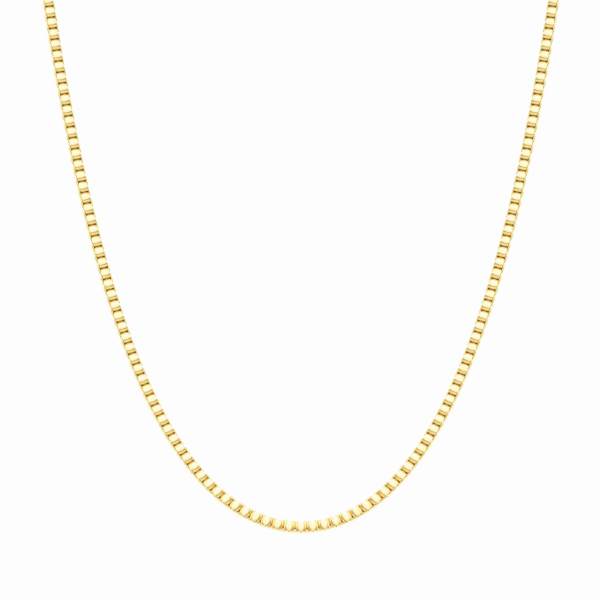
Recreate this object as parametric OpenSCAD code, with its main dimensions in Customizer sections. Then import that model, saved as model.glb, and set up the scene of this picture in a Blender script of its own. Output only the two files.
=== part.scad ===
// Box chain necklace in the form it has when it is worn, all sizes in millimetres.
// The front faces -Y, +X is the right side of the picture, and the origin is at the nape, where the loop sits.
// A link is a flat strip bent into a box. Each link is turned a quarter turn from the last and passes through it.

/* [Chain] */
// Outer width of a link across the chain
chain_w = 2; // [1.8:0.1:2.6]
// Thickness of the strip that a link is bent from
strip_t = 0.26; // [0.2:0.02:0.3]
// Length of chain from the middle of one link to the middle of the next
link_pitch = 0.94; // [0.88:0.02:1.1]
// Clear gap between links that pass through each other
link_gap = 0.1; // [0.1:0.01:0.14]
// More room in each link, which lets the chain follow its tightest bend
bend_room = 0.04; // [0.04:0.01:0.08]
// Outer corner radius of a link
link_corner_r = 0.38; // [0.3:0.02:0.5]

/* [Front curve] */
// Half of the distance between the strands at the top of the front curve
front_half_w = 41; // [34:1:44]
// Width scale of the hanging curve, the radius that its catenary would have
curve_w = 15.5; // [14.5:0.5:18]
// Height scale of the hanging curve
curve_h = 14.55; // [13:0.05:16]
// Lean of the front from the vertical, its lowest link foremost
front_lean = 16; // [0:1:25]

/* [Way round the neck] */
// Distance from the nape forward to the lowest link
neck_depth = 105; // [95:1:120]
// Height of the nape above the lowest link
neck_drop = 124; // [115:1:135]
// How far the strand runs on upwards before it turns back over the shoulder
shoulder_pull = 38; // [30:1:50]
// How far the strand runs out sideways from the nape before it turns forward
nape_pull = 45; // [36:1:55]

/* [Clasp and end rings] */
// Outer diameter of an end ring
ring_d = 4; // [3.6:0.1:5]
// Diameter of an end ring's wire
ring_wire_d = 0.6; // [0.4:0.05:0.65]
// More length in the last link of each strand, which takes the end ring
end_link_more = 0.4; // [0.3:0.05:0.6]
// Outer diameter of the clasp's round body
clasp_d = 6; // [5.5:0.1:7]
// Diameter of the clasp's tube
clasp_wire_d = 1.2; // [1:0.05:1.4]
// Outer diameter of the clasp's eyelet
eyelet_d = 2.6; // [2.4:0.1:3]
// Diameter of the eyelet's wire
eyelet_wire_d = 0.65; // [0.5:0.05:0.65]
// Length of the thumb piece that stands out of the clasp
thumb_l = 0.8; // [0.5:0.1:1.2]
// Diameter of the thumb piece
thumb_d = 0.7; // [0.5:0.1:0.9]
// Clear gap between a ring and what it holds
seat_gap = 0.15; // [0.1:0.01:0.2]

/* [Hidden] */
gold = [0.93, 0.76, 0.42];
steps_per_corner = 2;
route_steps = 240;
tube_sides = 8;
tube_ring_step = 2.4 * chain_w;
thumb_turn = 50;

// A link's inner length holds one pitch and the clear gaps, so that two strips pass through it.
link_l = link_pitch + 2 * strip_t + link_gap + bend_room;
strip_w = chain_w - 2 * strip_t - 2 * link_gap - bend_room;
inner_l = link_l - 2 * strip_t;
inner_w = chain_w - 2 * strip_t;

// The clasp's parts in a row along X, each measured from the middle of the clasp's round body.
ring_r = (ring_d - ring_wire_d) / 2;
ring_hole_r = ring_d / 2 - ring_wire_d;
ring_bow = ring_hole_r - sqrt(ring_hole_r * ring_hole_r - strip_w * strip_w / 4);
end_seat = inner_l / 2 + end_link_more - seat_gap - ring_bow - ring_wire_d / 2;
clasp_hole_r = clasp_d / 2 - clasp_wire_d;
eyelet_hole_r = eyelet_d / 2 - eyelet_wire_d;
eyelet_sink = eyelet_wire_d / 2;
eyelet_x = clasp_d / 2 + eyelet_d / 2 - eyelet_sink;
right_ring_x = clasp_hole_r - seat_gap - ring_wire_d / 2 + ring_r;
left_ring_x = eyelet_x + eyelet_hole_r - seat_gap - ring_wire_d / 2 + ring_r;
right_reach = right_ring_x + ring_r + end_seat;
left_reach = left_ring_x + ring_r + end_seat;
closure_half = (right_reach + left_reach) / 2;
clasp_x = closure_half - right_reach;

// The front hangs in one leaning plane as a catenary that is scaled in height.
function cosh(x) = (exp(x) + exp(-x)) / 2;
function sinh(x) = (exp(x) - exp(-x)) / 2;
function hang(u) = curve_h * (cosh(u / curve_w) - 1);
function hang_slope(u) = curve_h / curve_w * sinh(u / curve_w);
function front_point(u) =
    [u, hang(u) * sin(front_lean) - neck_depth, hang(u) * cos(front_lean) - neck_drop];

// From the top of the front to the nape, the strand follows one cubic curve.
shoulder = front_point(front_half_w);
rise = [1, hang_slope(front_half_w) * sin(front_lean), hang_slope(front_half_w) * cos(front_lean)];
nape_end = [closure_half, 0, 0];
pull_points = [
    shoulder,
    shoulder + rise / norm(rise) * shoulder_pull,
    nape_end + [nape_pull, 0, 0],
    nape_end
];
function back_point(t) =
    pow(1 - t, 3) * pull_points[0] + 3 * pow(1 - t, 2) * t * pull_points[1]
    + 3 * (1 - t) * t * t * pull_points[2] + t * t * t * pull_points[3];

// Points of the right half from the lowest link to the nape, and the length of chain up to each.
route = concat(
    [for (i = [0 : route_steps]) front_point(front_half_w * i / route_steps)],
    [for (i = [1 : route_steps]) back_point(i / route_steps)]
);
steps = [for (i = [1 : len(route) - 1]) norm(route[i] - route[i - 1])];
lengths = [for (i = 0, s = 0; i < len(route); s = i < len(steps) ? s + steps[i] : s, i = i + 1) s];
half_l = lengths[len(lengths) - 1];
front_l = lengths[route_steps];
function place(s) = [for (k = [0 : 2]) lookup(s, [for (i = [0 : len(route) - 1]) [lengths[i], route[i][k]]])];
across = [for (i = [0 : route_steps]) [lengths[i], front_half_w * i / route_steps]];

// Each half has an even number of links, so that its last link takes the end ring. They share the length evenly.
half_links = 2 * round(half_l / link_pitch / 2);
pitch = half_l / half_links;
front_links = floor(front_l / pitch);
tube_start = front_links * pitch + link_l / 2 + seat_gap;
tube_end = half_l - link_l / 2 - seat_gap;

// Points along the rounded outline of a box, one corner after another.
function rounded_box(l, w, r) = [
    for (q = [0 : 3], j = [0 : steps_per_corner])
        let (a = 90 * (q + j / steps_per_corner))
        [
            (q == 0 || q == 3 ? 1 : -1) * (l / 2 - r) + r * cos(a),
            (q < 2 ? 1 : -1) * (w / 2 - r) + r * sin(a)
        ]
];

// One link, bent round the Z axis, with its length along X. It may be longer towards +X.
module box_link(more = 0) {
    translate([more / 2, 0, 0])
        linear_extrude(height = strip_w, center = true)
            difference() {
                polygon(rounded_box(link_l + more, chain_w, link_corner_r));
                square([inner_l + more, inner_w], center = true);
            }
}

// A link of the front, k places from the lowest one. Odd links are open towards the viewer.
module front_link(k) {
    u = sign(k) * lookup(abs(k) * pitch, across);
    translate(front_point(u))
        rotate([90 - front_lean, 0, 0])
            rotate([0, 0, atan(hang_slope(u))])
                rotate([k % 2 == 0 ? 90 : 0, 0, 0])
                    box_link();
}

// An eight-sided tube along the hidden stretch. Its flats face up and sideways, as the links do.
module hidden_tube() {
    rings = ceil((tube_end - tube_start) / tube_ring_step);
    stations = [for (i = [0 : rings]) tube_start + (tube_end - tube_start) * i / rings];
    corner_r = chain_w / 2 / cos(180 / tube_sides);
    points = [
        for (s = stations)
            let (
                middle = place(s),
                ahead = place(s + link_pitch / 2) - place(s - link_pitch / 2),
                turned = (s - front_l) / (half_l - front_l),
                facing = [0, -cos(front_lean), sin(front_lean)] * (1 - turned) + [0, 0, turned],
                side = cross(ahead, facing) / norm(cross(ahead, facing)),
                up = cross(side, ahead) / norm(ahead)
            )
            for (j = [0 : tube_sides - 1])
                let (a = 360 * (j + 0.5) / tube_sides)
                middle + corner_r * (cos(a) * side + sin(a) * up)
    ];
    walls = [
        for (i = [0 : rings - 1], j = [0 : tube_sides - 1])
            let (
                a = i * tube_sides + j,
                b = i * tube_sides + (j + 1) % tube_sides
            )
            each [[a, b, b + tube_sides], [a, b + tube_sides, a + tube_sides]]
    ];
    first = [for (j = [0 : tube_sides - 1]) tube_sides - 1 - j];
    last = [for (j = [0 : tube_sides - 1]) rings * tube_sides + j];
    polyhedron(points, concat([first], walls, [last]));
}

// The last link of the right strand, made longer on the side of the end ring
module end_link() {
    translate([closure_half, 0, 0])
        rotate([0, 0, 180])
            rotate([90, 0, 0])
                box_link(end_link_more);
}

module both_sides() {
    children();
    mirror([1, 0, 0])
        children();
}

module wire_ring(outer_d, wire_d) {
    rotate_extrude($fn = 48)
        translate([(outer_d - wire_d) / 2, 0])
            circle(d = wire_d, $fn = 24);
}

module chain_front() {
    color(gold)
        for (k = [-front_links : front_links])
            front_link(k);
}

module chain_back() {
    color(gold)
        both_sides() {
            hidden_tube();
            end_link();
        }
}

module end_ring_left() {
    color(gold)
        translate([clasp_x - left_ring_x, 0, 0])
            wire_ring(ring_d, ring_wire_d);
}

module end_ring_right() {
    color(gold)
        translate([clasp_x + right_ring_x, 0, 0])
            wire_ring(ring_d, ring_wire_d);
}

// A round spring-ring form with its eyelet and thumb piece, all in one
module clasp() {
    color(gold)
        translate([clasp_x, 0, 0])
            rotate([90, 0, 0]) {
                wire_ring(clasp_d, clasp_wire_d);
                translate([-eyelet_x, 0, 0])
                    wire_ring(eyelet_d, eyelet_wire_d);
                rotate([0, 0, thumb_turn])
                    translate([clasp_d / 2 - clasp_wire_d / 2, 0, 0])
                        rotate([0, 90, 0])
                            cylinder(h = clasp_wire_d / 2 + thumb_l, d = thumb_d, $fn = 24);
            }
}

chain_front();
chain_back();
end_ring_left();
end_ring_right();
clasp();
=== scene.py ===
"""Looks of a gold box chain necklace in its worn form: the links, their metal, a pale studio and the camera.

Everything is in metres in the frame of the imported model. The front faces -Y, +Z is up, and the origin is
at the nape.
"""

import math

import bpy
import numpy as np
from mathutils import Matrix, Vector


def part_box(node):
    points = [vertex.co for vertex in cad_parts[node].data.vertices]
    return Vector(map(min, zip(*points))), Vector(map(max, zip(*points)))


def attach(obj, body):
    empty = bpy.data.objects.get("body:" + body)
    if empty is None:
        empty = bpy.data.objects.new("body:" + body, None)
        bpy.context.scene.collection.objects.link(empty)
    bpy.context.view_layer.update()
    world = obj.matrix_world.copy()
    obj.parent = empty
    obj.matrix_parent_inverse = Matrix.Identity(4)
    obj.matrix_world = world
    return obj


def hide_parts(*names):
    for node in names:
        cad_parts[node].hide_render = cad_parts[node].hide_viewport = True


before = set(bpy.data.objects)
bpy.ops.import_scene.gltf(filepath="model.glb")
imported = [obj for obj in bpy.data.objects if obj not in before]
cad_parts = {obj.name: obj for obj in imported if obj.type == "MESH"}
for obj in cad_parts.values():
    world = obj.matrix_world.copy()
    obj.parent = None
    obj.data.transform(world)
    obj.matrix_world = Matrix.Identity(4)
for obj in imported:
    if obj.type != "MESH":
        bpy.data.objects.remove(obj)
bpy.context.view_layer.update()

MM = 0.001

# A link: its width across the chain, the thickness and width of its strip, its length, the length of chain
# from one link to the next, its outer corner radius, and how much longer the last link of a strand is
CHAIN_W = 2.0 * MM
STRIP_T = 0.30 * MM
STRIP_W = 1.36 * MM
LINK_L = 1.88 * MM
LINK_PITCH = 0.94 * MM
CORNER_R = 0.40 * MM
END_LINK_MORE = 0.4 * MM

# The strip narrows by BEND_PULL on each side in the middle of a corner, and by the share FLAT_PULL of that
# where the corner starts and ends. The edges of its outer face lie CROWN lower than the ridge between them.
BEND_PULL = 0.06 * MM
FLAT_PULL = 0.45
CROWN = 0.05 * MM

# How far the shading normals lean: at the edges of the crowned face, where the strip's rounded edge starts,
# where a long side of the link meets a corner, and where an end of the link meets a corner
CROWN_TILT = math.radians(13)
EDGE_TILT = math.radians(48)
END_TILT = math.radians(20)
END_LIFT = math.radians(28)

# How deep in a recess the strip's outer edge and its inner face are for the painted shade, from 0 to 1, and
# the share of that painted shade, and of the recess's added roughness, that is taken off where the chain
# runs level, as if light came in there through joints that opened a little
SIDE_RECESS = 0.3
INNER_RECESS = 0.8
LEVEL_SHADE_AND_HAZE_LOSS = 0.5

# The way that the chain takes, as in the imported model: half of the front's width, the width and height
# scales of its catenary, its lean, the place of its lowest link, and how far the back's curve is pulled on
# at the front and out at the nape
FRONT_HALF_W = 41 * MM
CURVE_W = 15.5 * MM
CURVE_H = 14.55 * MM
FRONT_LEAN = math.radians(16)
NECK_DEPTH = 105 * MM
NECK_DROP = 124 * MM
SHOULDER_PULL = 38 * MM
NAPE_PULL = 45 * MM

# From the outer side of an end ring to the middle of the link that takes it, its extra length left out
END_LINK_LEAD = 0.045 * MM

# Points of the front and of the back, along which the links are spaced
ROUTE_STEPS = 3000

# How far the face of a steep strand turns to the inside
FACE_TURN = math.radians(7)

# The gold's two tones, a darker painted shade for recesses, and the power of the recess that blends that
# painted shade in
LIGHT_GOLD = (0.97, 0.675, 0.295, 1)
WARM_GOLD = (0.96, 0.645, 0.265, 1)
PAINTED_SHADE_GOLD = (0.30, 0.24, 0.07, 1)
PAINTED_SHADE_POWER = 2.0

# Soft clouds, which blend the two tones, and the roughness that clouds and recesses add to the metal's own
CLOUD_SCALE = 260
CLOUD_DETAIL = 3
CLOUD_HAZE = 0.08
RECESS_HAZE = 0.12

# Hairline marks: their scale and detail, the share of that scale along each axis, and their strength
MARK_SCALE = 9000
MARK_DETAIL = 2
MARK_STRETCH = (1.0, 0.25, 0.12)
MARK_STRENGTH = 0.25

# The photograph's frame: its side and scale, the lowest link's place in it, and a lens that takes it
PICTURE_PX = 600
MM_PER_PX = 0.1611
LOWEST_LINK_PX = (300.9, 528.0)
LENS_MM = 1200
SENSOR_MM = 36
CAMERA_REACH = 100

# The floor: its height, half of its side and its grey. Between two places in Y, its glow grows from one
# level to another.
FLOOR_Z = -4.5
FLOOR_HALF = 30.0
FLOOR_GREY = (0.8, 0.8, 0.8, 1)
FLOOR_GLOW_Y = (-0.5, 5.0)
FLOOR_GLOW = (0.1, 1.4)

# The middle of the necklace, which the soft box faces
STUDIO_MIDDLE = np.array([0, -0.053, -0.061])

# The surround's even level as it lights the necklace, and the level that the camera sees
WHITE = (1, 1, 1, 1)
SURROUND_LEVEL = 0.56
SEEN_LEVEL = 2.5

# Soft glows in the surround: the height over the horizon and the turn from the front, the angles from there
# where the glow starts and is full, all in degrees, and its level
GLOWS = [
    (44, 0, 46, 18, 2.0),
    (28, 100, 40, 8, 2.0),
    (28, -100, 40, 8, 2.0),
    (5, 180, 50, 20, 1.2),
]

# Levels of light and how bright each one is in the picture
SHOULDER = [(0, 0), (0.3, 0.3), (0.65, 0.64), (1.0, 0.85), (1.3, 0.91), (1.8, 0.955), (2.6, 0.985)]


def unit(vectors):
    """The vectors, each divided by its length."""
    return vectors / np.linalg.norm(vectors, axis=-1, keepdims=True)


def front_route(u):
    """Points of the front curve at u to the side.

    It is a catenary of the height CURVE_H (cosh(u / CURVE_W) - 1), in a plane that leans back from the
    lowest link.
    """
    height = CURVE_H * (np.cosh(u / CURVE_W) - 1)
    back = height * math.sin(FRONT_LEAN) - NECK_DEPTH
    up = height * math.cos(FRONT_LEAN) - NECK_DROP
    return np.stack([u, back, up], 1)


def back_route(t):
    """Points from the top of the front to the nape, a cubic Bezier curve in t from 0 to 1.

    It starts the way that the front curve ends, and ends the way that the clasp lies.
    """
    slope = CURVE_H / CURVE_W * math.sinh(FRONT_HALF_W / CURVE_W)
    rise = np.array([1, slope * math.sin(FRONT_LEAN), slope * math.cos(FRONT_LEAN)])
    start = front_route(np.array([FRONT_HALF_W]))[0]
    end = np.array([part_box("end_ring_right")[1].x + END_LINK_LEAD, 0, 0])
    pulls = [start, start + unit(rise) * SHOULDER_PULL, end + [NAPE_PULL, 0, 0], end]
    shares = [(1 - t) ** 3, 3 * (1 - t) ** 2 * t, 3 * (1 - t) * t**2, t**3]
    return sum(share[:, None] * pull for share, pull in zip(shares, pulls))


def right_strand():
    """The right half up to the nape: its points, the length up to each of them, and the front's length."""
    front = front_route(np.linspace(0, FRONT_HALF_W, ROUTE_STEPS))
    back = back_route(np.linspace(0, 1, ROUTE_STEPS)[1:])
    points = np.concatenate([front, back])
    steps = np.linalg.norm(np.diff(points, axis=0), axis=1)
    lengths = np.concatenate([[0], np.cumsum(steps)])
    return points, lengths, lengths[ROUTE_STEPS - 1]


def along(points, lengths, s):
    """The points at the lengths s along a strand. Before its start, it goes on as its mirror image."""
    found = np.stack([np.interp(np.abs(s), lengths, points[:, axis]) for axis in range(3)], 1)
    found[:, 0] *= np.where(s < 0, -1, 1)
    return found


def link_axes(places, points, lengths, front_l):
    """Middle of each link, the way that it runs, and the two ways across it.

    The first way across faces forward in front and turns up on the way over the shoulder. The second is
    square to it and points out of the curve. The steeper a strand runs in front, the more its face turns to
    the inside.
    """
    middle = along(points, lengths, places)
    before = along(points, lengths, places - LINK_PITCH / 2)
    after = along(points, lengths, places + LINK_PITCH / 2)
    run = unit(after - before)
    turned = np.clip((places - front_l) / (lengths[-1] - front_l), 0, 1)[:, None]
    forward = np.array([0, -math.cos(FRONT_LEAN), math.sin(FRONT_LEAN)])
    facing = forward * (1 - turned) + np.array([0, 0, 1]) * turned
    side = unit(np.cross(run, facing))
    facing = np.cross(side, run)
    turn = FACE_TURN * (1 - np.abs(run[:, :1])) * (1 - turned)
    first = facing * np.cos(turn) - side * np.sin(turn)
    second = side * np.cos(turn) + facing * np.sin(turn)
    return middle, run, first, second


def link_surface(more=0.0):
    """One link, a closed strip bent round the Z axis, with a normal and a recess for each face corner.

    The strip's section is carried round a box with round corners. At the angle a of a corner with the middle
    c, a section point that lies d under the outer face and z along the strip's width is at
    c + (CORNER_R - d) (cos a, sin a), z. The strip is widest in the middle of each long side. More length
    goes towards +X.

    The normals turn evenly across the crowned outer face, and from its edges over to the strip's sides.
    Where a long side meets a corner they lean towards the link's end, and where an end meets a corner they
    lean to the nearer long side.

    The recess, which sets the painted shade and the added roughness, is |cos a| on the outer face, so 0 on a
    long side and 1 on an end. On the strip's sides it grows from SIDE_RECESS at the outer edge to 1 at the
    inner one, and the inner face has INNER_RECESS, unless |cos a| is larger.
    """
    angle = np.radians([0, 45, 90, 90, 90, 135, 180, 180, 225, 270, 270, 270, 315, 360])
    end = np.array([1, 1, 1, 0, -1, -1, -1, -1, -1, -1, 0, 1, 1, 1])
    half = np.repeat([1, -1], len(angle) // 2)
    outward = np.stack([np.cos(angle), np.sin(angle)], 1)
    on_end, on_side = np.isclose(np.abs(outward), 1).T
    leaning = angle + end * half * (END_LIFT * on_end - END_TILT * on_side)
    shown = np.stack([np.cos(leaning), np.sin(leaning)], 1)
    reach = end * (LINK_L / 2 - CORNER_R) + more * (1 + end) / 2
    rise = half * (CHAIN_W / 2 - CORNER_R)
    pull = BEND_PULL * np.abs(end) * (FLAT_PULL + (1 - FLAT_PULL) * np.sin(2 * angle) ** 2)

    # Points of the section: their place across, in halves of its width, and their depth under the outer face
    section = np.array([[0, 0], [1, CROWN], [1, STRIP_T], [-1, STRIP_T], [-1, CROWN]])
    wide = (STRIP_W / 2 - pull)[:, None] * section[:, 0]
    under = np.broadcast_to(section[:, 1], wide.shape)
    flat = np.stack([reach, rise], 1)[:, None, :] + outward[:, None, :] * (CORNER_R - under)[..., None]
    points = np.concatenate([flat, wide[..., None]], 2).reshape(-1, 3)

    stations, corners = wide.shape
    i, j = np.meshgrid(np.arange(stations), np.arange(corners), indexing="ij")
    ahead = (i + 1) % stations
    beside = (j + 1) % corners
    station = np.stack([i, ahead, ahead, i], 2)
    corner = np.stack([j, j, beside, beside], 2)
    faces = station * corners + corner

    # For each face of the section, the normal and the recess at its first and at its second point. A normal
    # has its share outwards and its share across the strip.
    crown = [math.cos(CROWN_TILT), math.sin(CROWN_TILT)]
    edge = [math.cos(EDGE_TILT), math.sin(EDGE_TILT)]
    face_normals = np.array([
        [[1, 0], crown],
        [edge, [0, 1]],
        [[-1, 0], [-1, 0]],
        [[0, -1], [edge[0], -edge[1]]],
        [[crown[0], -crown[1]], [1, 0]],
    ])
    face_recess = np.array([
        [0, 0],
        [SIDE_RECESS, 1],
        [INNER_RECESS, INNER_RECESS],
        [1, SIDE_RECESS],
        [0, 0],
    ])
    face = j[..., None]
    first_or_second = [0, 0, 1, 1]
    at_point = face_normals[face, first_or_second]
    normals = np.concatenate([shown[station] * at_point[..., :1], at_point[..., 1:]], 3)
    recess = np.maximum(np.abs(outward[station, 0]), face_recess[face, first_or_second])
    return points, faces.reshape(-1, 4), normals.reshape(-1, 3), recess.reshape(-1)


def place_links(surface, middle, run, axis):
    """Copies of a link's surface as one, each with its length along its run and bent round its axis.

    The nearer a link is to level, the weaker its recesses are, so the less painted shade and added roughness
    it gets, by up to the share LEVEL_SHADE_AND_HAZE_LOSS.
    """
    points, faces, normals, recess = surface
    turn = np.stack([run, np.cross(axis, run), axis], 2)
    placed = middle[:, None, :] + np.einsum("nij,vj->nvi", turn, points)
    turned = np.einsum("nij,vj->nvi", turn, normals)
    shift = np.arange(len(middle))[:, None, None] * len(points)
    depth = 1 - LEVEL_SHADE_AND_HAZE_LOSS * (1 - np.abs(run[:, 2]))
    return (
        placed.reshape(-1, 3),
        (faces[None] + shift).reshape(-1, 4),
        turned.reshape(-1, 3),
        np.outer(depth, recess).reshape(-1),
    )


def join(surfaces):
    """Several surfaces as one, each with its faces moved on past the points before it."""
    before = np.cumsum([0] + [len(surface[0]) for surface in surfaces[:-1]])
    faces = np.concatenate([surface[1] + start for surface, start in zip(surfaces, before)])
    points, normals, recess = [np.concatenate([surface[k] for surface in surfaces]) for k in (0, 2, 3)]
    return points, faces, normals, recess


def make_piece(name, surface, material):
    """A mesh object of a surface, shaded by the surface's own normals."""
    points, faces, normals, recess = surface
    mesh = bpy.data.meshes.new(name)
    mesh.from_pydata(points, [], faces)
    mesh.polygons.foreach_set("use_smooth", np.ones(len(faces), bool))
    mesh.attributes.new("recess", "FLOAT", "CORNER").data.foreach_set("value", recess.astype(np.float32))
    mesh.normals_split_custom_set(normals)
    mesh.materials.append(material)
    piece = bpy.data.objects.new(name, mesh)
    bpy.context.scene.collection.objects.link(piece)
    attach(piece, "root")
    return piece


def make_chain(material):
    """All links of both halves. The front's links and the hidden ones are one piece each."""
    points, lengths, front_l = right_strand()
    half_links = 2 * round(lengths[-1] / LINK_PITCH / 2)
    pitch = lengths[-1] / half_links
    front_links = int(front_l // pitch)
    number = np.arange(half_links + 1)
    middle, run, facing, side = link_axes(number * pitch, points, lengths, front_l)
    mirror = np.array([-1, 1, 1])
    axis = np.where(number[:, None] % 2 == 0, side, facing)
    link = link_surface()
    end_link = link_surface(END_LINK_MORE)

    def both_halves(surface, chosen):
        """The chosen links of the left half and of the right half, as two surfaces."""
        left = place_links(surface, middle[chosen] * mirror, run[chosen] * mirror, axis[chosen] * mirror)
        right = place_links(surface, middle[chosen], run[chosen], axis[chosen])
        return [left, right]

    lowest = place_links(link, middle[:1], run[:1], axis[:1])
    front = join([lowest, *both_halves(link, slice(1, front_links + 1))])
    back_links = both_halves(link, slice(front_links + 1, half_links))
    back = join([*back_links, *both_halves(end_link, slice(half_links, None))])
    front_piece = make_piece("front_links", front, material)
    back_piece = make_piece("back_links", back, material)
    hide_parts("chain_front")
    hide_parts("chain_back")


def dress_closure(material):
    """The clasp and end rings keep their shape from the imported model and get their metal."""
    for node in ("clasp", "end_ring_left", "end_ring_right"):
        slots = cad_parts[node].data.materials
        slots.clear()
        slots.append(material)


def feed(tree, socket, source):
    """Gives a node's input its value: a number, a colour, a vector or another node's output."""
    if isinstance(source, bpy.types.NodeSocket):
        tree.links.new(source, socket)
    else:
        socket.default_value = source


def calculate(tree, operation, *sources):
    """The result of a math node."""
    node = tree.nodes.new("ShaderNodeMath")
    node.operation = operation
    for socket, source in zip(node.inputs, sources):
        feed(tree, socket, source)
    return node.outputs["Value"]


def ramp(tree, source, start, full, low, high):
    """A level that grows softly from low, where the source is start, to high, where it is full."""
    node = tree.nodes.new("ShaderNodeMapRange")
    node.interpolation_type = "SMOOTHSTEP"
    feed(tree, node.inputs["Value"], source)
    feed(tree, node.inputs["From Min"], start)
    feed(tree, node.inputs["From Max"], full)
    feed(tree, node.inputs["To Min"], low)
    feed(tree, node.inputs["To Max"], high)
    return node.outputs["Result"]


def noise(tree, place, scale, detail):
    """A soft noise at a place, from 0 to 1."""
    node = tree.nodes.new("ShaderNodeTexNoise")
    feed(tree, node.inputs["Vector"], place)
    feed(tree, node.inputs["Scale"], scale)
    feed(tree, node.inputs["Detail"], detail)
    return node.outputs["Fac"]


def blend(tree, share, first, second):
    """The blend of two colours that has this share of the second."""
    node = tree.nodes.new("ShaderNodeMix")
    node.data_type = "RGBA"
    feed(tree, node.inputs["Factor"], share)
    feed(tree, node.inputs["A"], first)
    feed(tree, node.inputs["B"], second)
    return node.outputs["Result"]


def gold_group():
    """Gold's colour, gloss and fine marks: soft clouds, hairlines, and in recesses a painted shade, a darker
    gold, with more roughness.
    """
    tree = bpy.data.node_groups.new("gold_surface", "ShaderNodeTree")
    face = tree.interface
    face.new_socket("Recess", in_out="INPUT", socket_type="NodeSocketFloat")
    face.new_socket("Roughness", in_out="INPUT", socket_type="NodeSocketFloat")
    face.new_socket("Color", in_out="OUTPUT", socket_type="NodeSocketColor")
    face.new_socket("Roughness", in_out="OUTPUT", socket_type="NodeSocketFloat")
    face.new_socket("Height", in_out="OUTPUT", socket_type="NodeSocketFloat")
    ins = tree.nodes.new("NodeGroupInput").outputs
    outs = tree.nodes.new("NodeGroupOutput").inputs
    place = tree.nodes.new("ShaderNodeTexCoord").outputs["Object"]
    stretch = tree.nodes.new("ShaderNodeMapping")
    feed(tree, stretch.inputs["Vector"], place)
    feed(tree, stretch.inputs["Scale"], MARK_STRETCH)

    cloud = noise(tree, place, CLOUD_SCALE, CLOUD_DETAIL)
    marks = noise(tree, stretch.outputs["Vector"], MARK_SCALE, MARK_DETAIL)
    tone = blend(tree, cloud, LIGHT_GOLD, WARM_GOLD)
    # Painted shade: the recess blends a darker gold into the colour, and it also adds roughness
    painted_shade_share = calculate(tree, "POWER", ins["Recess"], PAINTED_SHADE_POWER)
    hazy = calculate(tree, "MULTIPLY_ADD", cloud, CLOUD_HAZE, ins["Roughness"])
    dull = calculate(tree, "MULTIPLY_ADD", ins["Recess"], RECESS_HAZE, hazy)
    feed(tree, outs["Color"], blend(tree, painted_shade_share, tone, PAINTED_SHADE_GOLD))
    feed(tree, outs["Roughness"], dull)
    feed(tree, outs["Height"], marks)
    return tree


def gold_material(name, group, roughness, mark_depth, recess_name=None):
    """A polished gold with the group's colour, gloss and marks. Its recesses are the mesh's named values."""
    material = bpy.data.materials.new(name)
    material.use_nodes = True
    tree = material.node_tree
    surface = tree.nodes.new("ShaderNodeGroup")
    surface.node_tree = group
    feed(tree, surface.inputs["Roughness"], roughness)
    if recess_name:
        recess = tree.nodes.new("ShaderNodeAttribute")
        recess.attribute_name = recess_name
        feed(tree, surface.inputs["Recess"], recess.outputs["Fac"])
    bump = tree.nodes.new("ShaderNodeBump")
    feed(tree, bump.inputs["Strength"], MARK_STRENGTH)
    feed(tree, bump.inputs["Distance"], mark_depth)
    feed(tree, bump.inputs["Height"], surface.outputs["Height"])
    shader = tree.nodes["Principled BSDF"]
    feed(tree, shader.inputs["Metallic"], 1.0)
    feed(tree, shader.inputs["Base Color"], surface.outputs["Color"])
    feed(tree, shader.inputs["Roughness"], surface.outputs["Roughness"])
    feed(tree, shader.inputs["Normal"], bump.outputs["Normal"])
    return material


def direction(height, turn):
    """The unit vector that points to a height over the horizon and a turn to the right of the front."""
    level = math.cos(height)
    return np.array([math.sin(turn) * level, -math.cos(turn) * level, math.sin(height)])


def soft_box(name, turn, height, distance, width, level):
    """A square light that faces the necklace from one direction.

    An area light of the side w has the radiance energy / (4 w w), so the energy follows from the level.
    """
    data = bpy.data.lights.new(name, "AREA")
    data.shape = "SQUARE"
    data.size = width
    data.energy = 4 * width * width * level
    light = bpy.data.objects.new(name, data)
    bpy.context.scene.collection.objects.link(light)
    light.location = direction(height, turn) * distance + STUDIO_MIDDLE
    light.rotation_euler = (math.pi / 2 - height, 0, turn)
    light.visible_camera = False


def make_floor():
    """A pale matt floor far under the necklace, which glows more the farther behind the necklace it is."""
    corners = FLOOR_HALF * np.array([[-1, -1], [1, -1], [1, 1], [-1, 1]])
    mesh = bpy.data.meshes.new("floor")
    mesh.from_pydata([(x, y, FLOOR_Z) for x, y in corners], [], [(0, 1, 2, 3)])
    floor = bpy.data.objects.new("floor", mesh)
    bpy.context.scene.collection.objects.link(floor)
    material = bpy.data.materials.new("pale_floor")
    material.use_nodes = True
    tree = material.node_tree
    place = tree.nodes.new("ShaderNodeSeparateXYZ")
    feed(tree, place.inputs["Vector"], tree.nodes.new("ShaderNodeTexCoord").outputs["Object"])
    glow = ramp(tree, place.outputs["Y"], *FLOOR_GLOW_Y, *FLOOR_GLOW)
    shader = tree.nodes["Principled BSDF"]
    feed(tree, shader.inputs["Base Color"], FLOOR_GREY)
    feed(tree, shader.inputs["Roughness"], 1.0)
    feed(tree, shader.inputs["Specular IOR Level"], 0.0)
    feed(tree, shader.inputs["Emission Color"], WHITE)
    feed(tree, shader.inputs["Emission Strength"], glow)
    mesh.materials.append(material)


def surround_glow(tree, towards, height, turn, start, full, level):
    """A soft light in one direction: none at the angle start from it, its level within the angle full."""
    nearness = tree.nodes.new("ShaderNodeVectorMath")
    nearness.operation = "DOT_PRODUCT"
    feed(tree, nearness.inputs[0], towards)
    feed(tree, nearness.inputs[1], direction(height, turn))
    return ramp(tree, nearness.outputs["Value"], math.cos(start), math.cos(full), 0, level)


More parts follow.
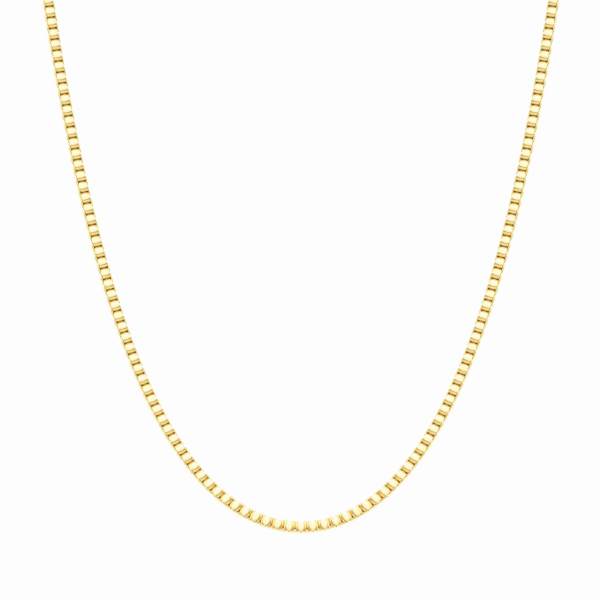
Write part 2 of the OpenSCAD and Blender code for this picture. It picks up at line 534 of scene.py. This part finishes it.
def make_surround():
    """An even surround with soft glows in it, which the camera itself sees as plain white."""
    world = bpy.data.worlds.new("surround")
    bpy.context.scene.world = world
    world.use_nodes = True
    tree = world.node_tree
    towards = tree.nodes.new("ShaderNodeTexCoord").outputs["Generated"]
    total = SURROUND_LEVEL
    for *angles, level in GLOWS:
        glow = surround_glow(tree, towards, *np.radians(angles), level)
        total = calculate(tree, "ADD", glow, total)
    lit = tree.nodes["Background"]
    feed(tree, lit.inputs["Color"], WHITE)
    feed(tree, lit.inputs["Strength"], total)
    seen = tree.nodes.new("ShaderNodeBackground")
    feed(tree, seen.inputs["Color"], WHITE)
    feed(tree, seen.inputs["Strength"], SEEN_LEVEL)
    rays = tree.nodes.new("ShaderNodeLightPath")
    choose = tree.nodes.new("ShaderNodeMixShader")
    feed(tree, choose.inputs["Fac"], rays.outputs["Is Camera Ray"])
    feed(tree, choose.inputs[1], lit.outputs["Background"])
    feed(tree, choose.inputs[2], seen.outputs["Background"])
    feed(tree, tree.nodes["World Output"].inputs["Surface"], choose.outputs["Shader"])


def set_film():
    """A film-like curve from light to picture: even up to about 0.65, then a long soft shoulder to white."""
    view = bpy.context.scene.view_settings
    view.view_transform = "Standard"
    view.use_curve_mapping = True
    mapping = view.curve_mapping
    brightest = SHOULDER[-1][0]
    mapping.white_level = (brightest, brightest, brightest)
    # The fourth curve works on all three colours
    points = mapping.curves[3].points
    while len(points) < len(SHOULDER):
        points.new(0.5, 0.5)
    for point, (light, shown) in zip(points, SHOULDER):
        point.location = (light / brightest, shown)
    mapping.update()


def make_camera():
    """A level camera with a long lens that puts the lowest link on its pixel at the photograph's scale."""
    data = bpy.data.cameras.new("camera")
    data.lens = LENS_MM
    data.sensor_width = SENSOR_MM
    data.clip_end = CAMERA_REACH
    camera = bpy.data.objects.new("camera", data)
    bpy.context.scene.collection.objects.link(camera)
    pixel = MM_PER_PX * MM
    distance = PICTURE_PX * pixel * LENS_MM / SENSOR_MM
    across = (PICTURE_PX / 2 - LOWEST_LINK_PX[0]) * pixel
    above = (LOWEST_LINK_PX[1] - PICTURE_PX / 2) * pixel
    camera.location = (across, -NECK_DEPTH - distance, above - NECK_DROP)
    camera.rotation_euler = (math.pi / 2, 0, 0)
    bpy.context.scene.camera = camera


make_camera()
gold = gold_group()
make_chain(gold_material("chain_gold", gold, roughness=0.06, mark_depth=0.004 * MM, recess_name="recess"))
dress_closure(gold_material("clasp_gold", gold, roughness=0.1, mark_depth=0.006 * MM))
make_floor()
soft_box("front_box", turn=0.0, height=math.radians(50), distance=1.8, width=0.7, level=0.5)
make_surround()
set_film()
